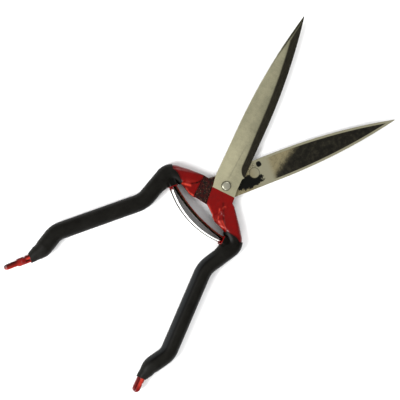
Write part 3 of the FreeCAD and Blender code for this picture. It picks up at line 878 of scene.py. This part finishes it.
def makeHandle(rear, material):
    arm, marks = armRings()
    name, body, node = halfNames(rear)
    attributes = {"halfPlace": arm, "marks": marks}
    piece = skinRings("handle" + name, placeHalf(arm, rear), attributes, sharp=50)
    finishPiece(piece, body, "red_enamel", material, "handle" + node)
    lug = lugRings()
    lugV = lug[..., 1] - handle["lugY"]
    flatTop = smooth(1.2, 2.4, np.abs(lug[..., 2]))
    neckward = smooth(-186, -179, lug[..., 0])
    # painted highlights and painted shade on the lug's flat faces, the shade along its pressed
    # groove and one side
    if rear:
        paintedHighlight = bump(-0.4, 0.8, lugV) * neckward + 0.35 * smooth(1.6, 2.6, lugV)
        dark = 0.95 * bump(1.0, 0.5, lugV) + 0.55 * smooth(-1.2, -2.2, lugV)
    else:
        paintedHighlight = 0.75 * bump(-1.0, 1.3, lugV) * neckward
        dark = 0.85 * bump(1.1, 0.4, lugV) + 0.45 * smooth(1.3, 2.2, lugV)
    marks = np.stack([0 * lugV, paintedHighlight * flatTop, np.clip(dark, 0, 1) * flatTop], -1)
    attributes = {"halfPlace": lug, "marks": marks}
    end = skinRings("handleEnd" + name, placeHalf(lug, rear), attributes, sharp=50)
    finishPiece(end, body, "red_enamel", material, "handle" + node)


sleeve = {
    "width": 14.4,
    "height": 13.4,
    "wall": 1.2,
    "lipRound": 0.5,
    "mouthRun": 24.6,
    "slant": 1.48,           # how far the mouth leans, along for each unit across
    "socketRun": 41.0,
    "socketSwell": 1.3,      # extra on the inner side round the spring socket
    "creaseDepth": 0.5,
    "creaseAcross": -3.9,
    "endWidth": 8.6,
    "endHeight": 8.2,
    "points": 72,
    "black": (0.0032, 0.0029, 0.0022, 1),
    "bloom": (0.0085, 0.0082, 0.0065, 1),
    "strip": (0.0125, 0.0135, 0.0145, 1),
    "creaseShade": (0.0008, 0.0008, 0.0008, 1),
    "dust": (0.25, 0.23, 0.2, 1),
}


def makeSleeveBlack():
    material, tree, shader = newMaterial("blackSleeve", Roughness=0.42, IOR=1.46)
    shader.inputs["Specular IOR Level"].default_value = 0.12
    place = attributeVector(tree, "halfPlace")
    cloud = mottled(tree, place, 0.07, 0.5, 0.2)
    colour = blendColour(tree, times(tree, cloud["Mask"], 0.6), sleeve["black"], sleeve["bloom"])
    marks = attributeParts(tree, "marks")
    # painted light on the strip beside the crease, and painted shade in the crease
    colour = blendColour(tree, times(tree, marks[0], 0.8), colour, sleeve["strip"])
    colour = blendColour(tree, marks[1], colour, sleeve["creaseShade"])
    dusty = useGroup(tree, dust, {"Place": place, "Up": 1.0, "Amount": 0.006, "Scale": 0.8})
    colour = blendColour(tree, dusty["Mask"], colour, sleeve["dust"])
    tree.links.new(colour, shader.inputs["Base Color"])
    tree.links.new(plus(tree, 0.36, times(tree, cloud["Raw"], 0.22)), shader.inputs["Roughness"])
    skin = noise(tree, place, 2.6, 4.0, 0.6)
    drawn = grained(tree, place, (0.05, 1.6, 1.6), 0.2)
    relief = plus(tree, skin, times(tree, drawn["Lines"], 0.7))
    bumpNormal(tree, shader, relief, 0.2, 0.00012)
    return material


def makeSleeve(rear, material):
    # a function of run and turn: the oval section at each run along the handle's route, with the
    # mouth slanting back along the inner side, tucked in at both ends, fuller at the knee and round
    # the spring socket, and with a shallow crease along the outer face
    start, end = sleeve["mouthRun"], routeRun[-1]
    run = np.concatenate([np.linspace(start, 70, 96), np.linspace(71, end, 110)[1:],
                          end + np.linspace(0, 6.0, 14)[1:]])
    wall, lip = sleeve["wall"], sleeve["lipRound"]
    run = np.concatenate([start + np.array([5, 1.2, 0.3, 0, -0.04, 0.04]), run,
                          run[-1] + np.array([0.12, 0.02, -0.6, -3.0])])
    shrink = np.zeros(len(run))
    shrink[:6] = [wall + 0.05, wall + 0.02, wall, wall * 0.75, lip, lip * 0.3]
    shrink[-4:] = [0.25, 0.8, 1.0, 1.0]
    count = sleeve["points"]
    across, up = stadium(sleeve["width"], sleeve["height"], count)
    fade = 1 - smooth(start, start + 30, run)
    s = run[:, None] + sleeve["slant"] * np.clip(across, -4.7, 2.8)[None, :] * fade[:, None]
    grow = np.clip((s - end + 9) / 14.8, 0, 1) ** 1.25
    inner, outer = armEdges(s)
    inner = np.maximum(inner + wall * smooth(14, 20, s), 0)
    outer = np.maximum(outer + wall * smooth(27, 40, s), 7.2)
    wide = (inner + outer) * (1 - grow) + sleeve["endWidth"] * grow - 2 * shrink[:, None]
    tall = (armHeight(s) + 2 * wall) * (1 - grow) + sleeve["endHeight"] * grow - 2 * shrink[:, None]
    across, up = stadium(wide, tall, count)
    across = across + (outer - inner) / 2 * (1 - grow)
    nearSocket = bump(sleeve["socketRun"], 4.0, s) * np.clip(-across / 3.0, 0, 1)
    nearSocket = nearSocket * (shrink[:, None] < 0.2)
    share = np.abs(up) / (tall / 2)
    up = np.sign(up) * tall / 2 * share ** (1 - 0.45 * nearSocket)
    across = across - sleeve["socketSwell"] * nearSocket * np.clip(-across / 7.2, 0, 1)
    creaseFade = smooth(44, 60, s) * (1 - smooth(end - 12, end - 4, s)) * (up > 0)
    up = up - sleeve["creaseDepth"] * bump(sleeve["creaseAcross"], 0.5, across) * creaseFade
    # masks for the painted light beside the crease and the painted shade in it
    strip = smooth(sleeve["creaseAcross"], sleeve["creaseAcross"] - 0.9, across) * creaseFade
    creaseShade = bump(sleeve["creaseAcross"], 0.7, across) * creaseFade
    marks = np.stack([strip, creaseShade, 0 * strip], -1)
    place, side = alongRoute(s)
    toNeck = np.clip((s - end) / 5.8, 0, 1.1)[..., None]
    neckWay = np.array(neckPlace) - routePoints[-1]
    onNeck = routePoints[-1] + neckWay * toNeck
    neckSide = side * (1 - np.clip(toNeck, 0, 1)) + np.array([0.0, -1.0]) * np.clip(toNeck, 0, 1)
    place = np.where(s[..., None] > end, onNeck, place)
    side = np.where(s[..., None] > end, neckSide / np.linalg.norm(neckSide, axis=-1, keepdims=True),
                    side)
    flat = place + side * across[..., None]
    rings = np.concatenate([flat, (up + armCentre(s))[..., None]], -1)
    name, body, node = halfNames(rear)
    attributes = {"halfPlace": rings, "marks": marks}
    piece = skinRings("grip" + name, placeHalf(rings, rear), attributes, sharp=60)
    finishPiece(piece, body, "black_sleeve", material, "grip" + node)


socket = {
    "frontX": -38.5,
    "backX": -46.3,
    "mouthY": -15.8,
    "floorY": -18.6,
    "baseY": -23.0,
    "halfZ": 6.7,
    "baseHalfZ": 4.6,
    "cornerRound": 2.0,
}


def makeSocketCoat():
    # the sleeve's black runs over the socket and stops just short of its red lip
    material, tree, shader = newMaterial("socketCoat", Roughness=0.38, IOR=1.5)
    shader.inputs["Specular IOR Level"].default_value = 0.12
    place = attributeVector(tree, "halfPlace")
    marks = attributeParts(tree, "marks")
    ragged = minus(tree, noise(tree, place, 0.9, 4.0), 0.5)
    level = plus(tree, marks[1], times(tree, ragged, 0.6))
    red = ramp(tree, level, 0.4, 0.6)
    pool = mottled(tree, place, 0.5, 0.52, 0.2)
    paint = blendColour(tree, times(tree, pool["Mask"], 0.5), enamelLook["red"], enamelLook["deep"])
    tree.links.new(blendColour(tree, red, sleeve["black"], paint), shader.inputs["Base Color"])
    bumpNormal(tree, shader, plus(tree, pool["Raw"], times(tree, red, -0.6)), 0.25, 0.00015)
    return material


def makeSocket(rear, material):
    # a rounded block with a slot: outer walls up to the mouth, over a round lip and down to the
    # slot's floor
    length = socket["frontX"] - socket["backX"]
    middleX = (socket["frontX"] + socket["backX"]) / 2
    mouth, drop = socket["mouthY"], socket["halfZ"] - socket["baseHalfZ"]
    # each step as its place, and how far it draws in along the handle and up
    steps = [(socket["baseY"], 1.0, drop), (-21.0, 0.5, drop * 0.55), (-19.0, 0.1, drop * 0.2),
             (-17.6, 0, 0.05), (mouth - 1.0, 0, 0), (mouth - 0.8, 0, 0),
             (mouth - 0.4, 0.05, 0.03), (mouth - 0.12, 0.2, 0.14), (mouth, 0.5, 0.32),
             (mouth - 0.1, 0.85, 0.48), (mouth - 0.5, 1.1, 0.6), (socket["floorY"], 1.1, 0.6)]
    rings = []
    for y, inX, inZ in steps:
        loop = roundedBox(length - 2 * inX, 2 * (socket["halfZ"] - inZ),
                          max(socket["cornerRound"] - inX * 1.2, 0.5), 48)
        rings.append(np.stack([middleX + loop[:, 0], np.full(len(loop), y), loop[:, 1]], -1))
    rings = np.array(rings)
    edge = np.zeros(rings.shape[:2])
    edge[7:10] = 1
    marks = np.stack([edge, 0 * edge, 0 * edge], -1)
    marks[..., 1] = smooth(mouth - 0.9, mouth - 0.5, rings[..., 1])
    marks[8:, :, 1] = 1
    name, body, node = halfNames(rear)
    attributes = {"halfPlace": rings, "marks": marks}
    piece = skinRings("springSocket" + name, placeHalf(rings, rear), attributes, sharp=40)
    finishPiece(piece, body, "red_enamel", material, "spring_socket" + node)


spring = {
    "width": 12.0,
    "thickness": 0.8,
    "tail": 2.0,
    "outerEnd": (-35.1, 30.9),
    "outerBow": 7.0,
    "innerEnd": (-31.7, 30.1),
    "innerBow": 3.6,
    # steel is painted near white as the lit leaf's reflection; dark is painted shade on the inner
    # leaf and on the hollow sides
    "steel": (0.90, 0.90, 0.87, 1),
    "reflectionStreak": (0.30, 0.26, 0.12, 1),
    "dark": (0.006, 0.005, 0.003, 1),
    "redSprayAndReflection": (0.085, 0.001, 0.0007, 1),
}


def makeSpringSteel(dark):
    # one spring steel in two copies: the lit copy painted near white as reflection, the shaded copy
    # painted near black as shade
    name = "shadedSpringSteel" if dark else "litSpringSteel"
    material, tree, shader = newMaterial(name, Roughness=0.25)
    shader.inputs["Specular IOR Level"].default_value = 0.0
    place = attributeVector(tree, "leafPlace")
    run, height, side = parts(tree, place)[0:3]
    drawn = grained(tree, place, (0.12, 3.2, 1.0), 0.25)
    base = spring["dark"] if dark else spring["steel"]
    # painted reflection streaks along the drawn lines and in patches
    amount = times(tree, ramp(tree, drawn["Lines"], 0.56, 0.75), 0.25 if dark else 0.3)
    colour = blendColour(tree, amount, base, spring["reflectionStreak"])
    reflectionPatches = mottled(tree, place, 0.6, 0.6, 0.05)
    colour = blendColour(tree, times(tree, reflectionPatches["Mask"], 0.6), colour, spring["reflectionStreak"])
    fromEnd = minus(tree, 31.5, math2(tree, "ABSOLUTE", run))
    ragged = plus(tree, fromEnd, times(tree, reflectionPatches["Raw"], -3.0))
    sprayAndRedReflection = ramp(tree, ragged, 1.2, -0.6)
    # painted shade on the lower part of the lit leaf's face
    lowerShade = times(tree, ramp(tree, height, 1.0, 0.2), 0.0 if dark else 0.97)
    lowerShade = times(tree, lowerShade, ramp(tree, height, -5.5, -4.9))
    colour = blendColour(tree, lowerShade, colour, spring["dark"])
    # painted shade on the hollow (concave) side of each leaf
    concaveShade = ramp(tree, side, 0.1, -0.3)
    colour = blendColour(tree, concaveShade, colour, spring["dark"])
    bare = minus(tree, 1.0, math2(tree, "MAXIMUM", lowerShade, concaveShade))
    # painted red reflection along the top edges, joined to the red overspray at the ends
    redReflectionEdge = times(tree, ramp(tree, math2(tree, "ABSOLUTE", height), 5.5, 5.8),
                    0.8 if dark else 0.15)
    sprayAndRedReflection = math2(tree, "MAXIMUM", sprayAndRedReflection, redReflectionEdge)
    colour = blendColour(tree, sprayAndRedReflection, colour, spring["redSprayAndReflection"])
    tree.links.new(colour, shader.inputs["Base Color"])
    bare = times(tree, bare, minus(tree, 1.0, sprayAndRedReflection))
    tree.links.new(times(tree, bare, 0.0 if dark else 0.3), shader.inputs["Metallic"])
    tree.links.new(plus(tree, 0.2, times(tree, drawn["Patches"], 0.25)), shader.inputs["Roughness"])
    bumpNormal(tree, shader, drawn["Lines"], 0.2, 0.00004)
    return material


def makeLeaf(name, end, bow, material, node):
    # a strip with rounded edges, carried along an arc about Z that bulges towards the handle ends
    radius = (end[1] ** 2 + bow ** 2) / (2 * bow)
    centreX = end[0] - bow + radius
    halfTurn = math.asin(end[1] / radius) + spring["tail"] / radius
    turn = np.linspace(-halfTurn, halfTurn, 150)
    loop = roundedBox(spring["thickness"], spring["width"], spring["thickness"] * 0.42, 40)
    extra = np.linspace(-0.5, 0.5, 9)[1:-1] * (spring["width"] - 1.2)
    right = np.stack([np.full(7, spring["thickness"] / 2), extra], -1)
    left = np.stack([np.full(7, -spring["thickness"] / 2), -extra], -1)
    loop = np.concatenate([loop[:20], left, loop[20:], right])
    r = radius + loop[:, 0]
    x = centreX - np.cos(turn)[:, None] * r[None, :]
    y = np.sin(turn)[:, None] * r[None, :]
    z = np.repeat(loop[None, :, 1], len(turn), 0)
    rings = np.stack([x, y, z], -1)
    place = np.stack([turn[:, None] * r[None, :], z, np.repeat(loop[None, :, 0], len(turn), 0)], -1)
    piece = skinRings(name, rings * mm, {"leafPlace": place}, sharp=50)
    finishPiece(piece, None, "spring_steel", material, node)
    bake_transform(piece)


rivet = {
    "headRadius": 3.9,
    "headHeight": 2.0,
    "shankRadius": 3.0,
    "bladeTop": 2.3,
    "tailTop": -4.1,
    "tailHeight": 1.4,
    "catchPinX": -181.0,
    "catchPinY": -3.4,
    "catchPinRadius": 1.25,
    "catchHeadRadius": 2.1,
    "catchHeadHeight": 0.6,
    "catchHalf": 4.5,
    "steel": (0.40, 0.39, 0.30, 1),
    "grime": (0.12, 0.11, 0.075, 1),
    "rimShadeAndDirt": (0.02, 0.018, 0.012, 1),
    "washer": (0.5, 0.47, 0.4, 1),
    "oil": (0.10, 0.08, 0.05, 1),
}


def makeRivetSteel():
    material, tree, shader = newMaterial("brightRivet", Metallic=0.6, Roughness=0.3)
    place = addNode(tree, "ShaderNodeTexCoord").outputs["Object"]
    fine = noise(tree, place, 900.0, 4.0)
    flatPlace = vector2(tree, "MULTIPLY", place, (1.0, 1.0, 0.0))[0]
    # painted shade and dirt darkening the head towards its rim
    rimShadeAndDirt = ramp(tree, vector2(tree, "LENGTH", flatPlace)["Value"], 0.0031, 0.0037)
    broad = mottled(tree, place, 420.0, 0.56, 0.1)
    colour = blendColour(tree, times(tree, broad["Mask"], 0.35), rivet["steel"], rivet["grime"])
    colour = blendColour(tree, times(tree, rimShadeAndDirt, 0.8), colour, rivet["rimShadeAndDirt"])
    tree.links.new(colour, shader.inputs["Base Color"])
    tree.links.new(plus(tree, 0.26, times(tree, fine, 0.2)), shader.inputs["Roughness"])
    bumpNormal(tree, shader, plus(tree, broad["Raw"], fine), 0.15, 0.00008)
    return material


def makeWasherSteel():
    material, tree, shader = newMaterial("washerSteel", Metallic=0.9, Roughness=0.35)
    place = addNode(tree, "ShaderNodeTexCoord").outputs["Object"]
    turned = grained(tree, place, (2600.0, 2600.0, 300.0), 300.0)
    oil = mottled(tree, place, 380.0, 0.5, 0.12)
    colour = blendColour(tree, times(tree, oil["Mask"], 0.7), rivet["washer"], rivet["oil"])
    tree.links.new(colour, shader.inputs["Base Color"])
    tree.links.new(plus(tree, 0.25, times(tree, turned["Patches"], 0.3)),
                   shader.inputs["Roughness"])
    bumpNormal(tree, shader, turned["Lines"], 0.2, 0.00005)
    return material


def spunProfile(profile, centre, count=64):
    # a profile of (radius, height) turned about Z
    profile = np.array(profile, float)
    turn = np.linspace(0, 2 * np.pi, count, endpoint=False)
    x = centre[0] + profile[:, :1] * np.cos(turn)
    y = centre[1] + profile[:, :1] * np.sin(turn)
    z = np.repeat(profile[:, 1:], count, 1)
    return np.stack([x, y, z], -1)


def domeProfile(radius, height, base, up):
    # from the rim over a low dome to near its pole: a short straight rim, a rounded edge, a
    # slightly
    # flattened crown
    rim = height * 0.25
    a = np.linspace(0.0, 1.0, 14)
    r = radius * np.cos(a * np.pi / 2 * 0.985) ** 0.85
    h = rim + (height - rim) * np.sin(a * np.pi / 2) ** 0.8
    return [(radius * 0.985, base)] + [(ri, base + up * hi) for ri, hi in zip(r, h)]


def makePivotRivet(material):
    top = domeProfile(rivet["headRadius"], rivet["headHeight"], rivet["bladeTop"], 1)
    tail = domeProfile(rivet["headRadius"], rivet["tailHeight"], rivet["tailTop"], -1)
    profile = top[::-1] + [(rivet["shankRadius"], rivet["bladeTop"] - 0.05),
                           (rivet["shankRadius"], rivet["tailTop"] + 0.05)] + tail
    rings = spunProfile(profile, (0, 0))
    piece = skinRings("pivotRivet", rings * mm, sharp=38)
    finishPiece(piece, "front_half", "bright_steel", material, "pivot_rivet")


def makeCatchRivet(material):
    head, half = rivet["catchHeadRadius"], rivet["catchHalf"]
    top = domeProfile(head, rivet["catchHeadHeight"], half, 1)
    tail = domeProfile(head, rivet["catchHeadHeight"], -half, -1)
    profile = top[::-1] + [(rivet["catchPinRadius"], half - 0.04),
                           (rivet["catchPinRadius"], 0.04 - half)] + tail
    rings = spunProfile(profile, (rivet["catchPinX"], rivet["catchPinY"]), 48)
    marks = np.zeros_like(rings)
    piece = skinRings("catchRivet", placeHalf(rings, True), {"halfPlace": rings, "marks": marks},
                      sharp=38)
    finishPiece(piece, "rear_half", "bright_steel", material, "catch_rivet")


catch = {
    "width": 4.4,
    "thickness": 1.2,
    "innerHalf": 3.15,
    "reach": 16.2,
    "pinX": -181.0,
    "pinY": -3.4,
    "bendRound": 1.7,
}


def makeCatch(material):
    # a strip with rounded edges carried round a U in the X-Z plane, its two ends cut to half rounds
    mid = catch["innerHalf"] + catch["thickness"] / 2
    endX = catch["pinX"] - catch["reach"] + catch["thickness"] / 2
    tip = catch["pinX"] + catch["width"] / 2
    corners = [(tip - 0.02, mid), (endX, mid), (endX, -mid), (tip - 0.02, -mid)]
    points, headings = roundedRoute(corners, [catch["bendRound"]] * 2, 0.28)
    half = catch["width"] / 2
    past = np.clip((points[:, 0] - catch["pinX"]) / half, 0, 0.995)
    toBend = np.clip((endX + 2.4 - points[:, 0]) / 3.2, 0, 0.9)
    wide = half * np.sqrt(1 - past ** 2) * np.sqrt(1 - toBend ** 2)
    loop = roundedBox(2.0, catch["thickness"], 0.28, 32)
    across = loop[None, :, 0] * wide[:, None]
    out = np.stack([-headings[:, 1], headings[:, 0]], -1)
    flat = points[:, None, :] + out[:, None, :] * loop[None, :, 1, None]
    rings = np.stack([flat[..., 0], catch["pinY"] + across, flat[..., 1]], -1)
    edge = np.repeat(smooth(0.85, 1.0, np.abs(loop[:, 0]))[None], len(points), 0)
    # painted shade on one side of the strap near its bend, and painted highlight on the other side
    shadeSide = np.repeat(smooth(0.1, -0.5, loop[:, 0])[None] * 0.9, len(points), 0)
    highlightSide = np.repeat(smooth(0.3, 0.8, loop[:, 0])[None] * 0.3, len(points), 0)
    marks = np.stack([edge, highlightSide, shadeSide * smooth(-184, -188, points[:, 0])[:, None]], -1)
    piece = skinRings("catchStrap", placeHalf(rings, True), {"halfPlace": rings, "marks": marks},
                      sharp=50)
    finishPiece(piece, "catch", "red_enamel", material, "catch_strap")


enamel = makeEnamel()
socketCoat = makeSocketCoat()
sleeveBlack = makeSleeveBlack()
rivetSteel = makeRivetSteel()
for rear in (False, True):
    makeBlade(rear, makeBladeSteel(rear))
    makeHandle(rear, enamel)
    makeSleeve(rear, sleeveBlack)
    makeSocket(rear, socketCoat)
makeLeaf("springOuter", spring["outerEnd"], spring["outerBow"], makeSpringSteel(False),
         "bow_spring_outer")
makeLeaf("springInner", spring["innerEnd"], spring["innerBow"], makeSpringSteel(True),
         "bow_spring_inner")
makePivotRivet(rivetSteel)
makeCatchRivet(enamel)
makeCatch(enamel)


washerSteel = makeWasherSteel()
for name in ("pivot_washer", "pivot_disc_spring"):
    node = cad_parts[name]
    node.data.materials.clear()
    node.data.materials.append(washerSteel)
print("pieces made")


studio = {
    "floorZ": -0.00672,
    "floorSize": 6.0,
    "floorColour": (0.86, 0.86, 0.86, 1),
    "floorShade": (0.82, 0.82, 0.82, 1),
    "worldStrength": 0.75,
    "worldInGloss": 0.05,    # how bright the surround shows in reflections, as in a dark studio
    "keyPower": 19.0,
    "lowPower": 7.0,
    "farPower": 4.0,
}


def makeFloor():
    size = studio["floorSize"]
    t = np.linspace(-0.5, 0.5, 25) * size
    gridX, gridY = np.meshgrid(t, t, indexing="ij")
    points = np.stack([gridX, gridY, np.full_like(gridX, studio["floorZ"])], -1).reshape(-1, 3)
    i = (np.arange(24)[:, None] * 25 + np.arange(24)[None, :]).ravel()
    faces = np.stack([i, i + 25, i + 26, i + 1], -1)
    mesh = bpy.data.meshes.new("floor")
    mesh.from_pydata(points.tolist(), [], faces.tolist())
    floor = bpy.data.objects.new("floor", mesh)
    scene.collection.objects.link(floor)
    material, tree, shader = newMaterial("paleFloor", Roughness=0.8)
    place = addNode(tree, "ShaderNodeTexCoord").outputs["Object"]
    soft = times(tree, noise(tree, place, 3.0), 0.05)
    colour = blendColour(tree, soft, studio["floorColour"], studio["floorShade"])
    tree.links.new(colour, shader.inputs["Base Color"])
    mesh.materials.append(material)


def areaLight(name, place, target, size, power):
    light = bpy.data.lights.new(name, "AREA")
    light.shape = "RECTANGLE"
    light.size, light.size_y = size
    light.energy = power
    lamp = bpy.data.objects.new(name, light)
    direction = np.array(place) - np.array(target)
    zAxis = direction / np.linalg.norm(direction)
    xAxis = np.cross([0, 1, 0.001], zAxis)
    xAxis = xAxis / np.linalg.norm(xAxis)
    yAxis = np.cross(zAxis, xAxis)
    matrix = np.eye(4)
    matrix[:3, 0], matrix[:3, 1], matrix[:3, 2], matrix[:3, 3] = xAxis, yAxis, zAxis, place
    lamp.matrix_world = Matrix(matrix.tolist())
    scene.collection.objects.link(lamp)


camera = {
    "distance": 1.25,
    "tiltX": -0.2214,
    "tiltY": -0.0341,
    "target": (-0.021875, -0.011839, 0.0),
    "turn": 42.97,           # degrees from the tool's frame to the camera's upright
    "lens": 134.29,
    "sensor": 36.0,
}


def turnedBack(vector):
    a = -math.radians(camera["turn"])
    x, y, z = vector
    return np.array([x * math.cos(a) - y * math.sin(a), x * math.sin(a) + y * math.cos(a), z])


def makeCamera():
    n = np.array([camera["tiltX"], camera["tiltY"], 1.0])
    n = n / np.linalg.norm(n)
    place = np.array(camera["target"]) + n * camera["distance"]
    right = np.cross([0, 1, 0], n)
    right = right / np.linalg.norm(right)
    up = np.cross(n, right)
    matrix = np.eye(4)
    for column, vector in enumerate((right, up, n, place)):
        matrix[:3, column] = turnedBack(vector)
    data = bpy.data.cameras.new("camera")
    data.lens = camera["lens"]
    data.sensor_width = camera["sensor"]
    data.clip_start, data.clip_end = 0.05, 20
    data.dof.use_dof = False
    eye = bpy.data.objects.new("camera", data)
    eye.matrix_world = Matrix(matrix.tolist())
    scene.collection.objects.link(eye)
    scene.camera = eye


makeFloor()
makeCamera()
middle = turnedBack((-0.02, -0.01, 0))
areaLight("keySoft", turnedBack((-0.85, -0.35, 0.75)), middle, (0.55, 0.4), studio["keyPower"])
areaLight("lowSoft", turnedBack((-0.2, -1.05, 0.6)), middle, (0.7, 0.35), studio["lowPower"])
areaLight("farSoft", turnedBack((0.5, 0.95, 0.6)), middle, (0.7, 0.35), studio["farPower"])
world = bpy.data.worlds.new("softWorld")
world.use_nodes = True
background = world.node_tree.nodes["Background"]
background.inputs["Color"].default_value = (1, 1, 1, 1)
glossy = addNode(world.node_tree, "ShaderNodeLightPath").outputs["Is Glossy Ray"]
surround = addNode(world.node_tree, "ShaderNodeMapRange",
                   {"Value": glossy, "To Min": studio["worldStrength"],
                    "To Max": studio["worldInGloss"]})
world.node_tree.links.new(surround.outputs[0], background.inputs["Strength"])
scene.world = world
scene.view_settings.view_transform = "Standard"
print("studio ready")
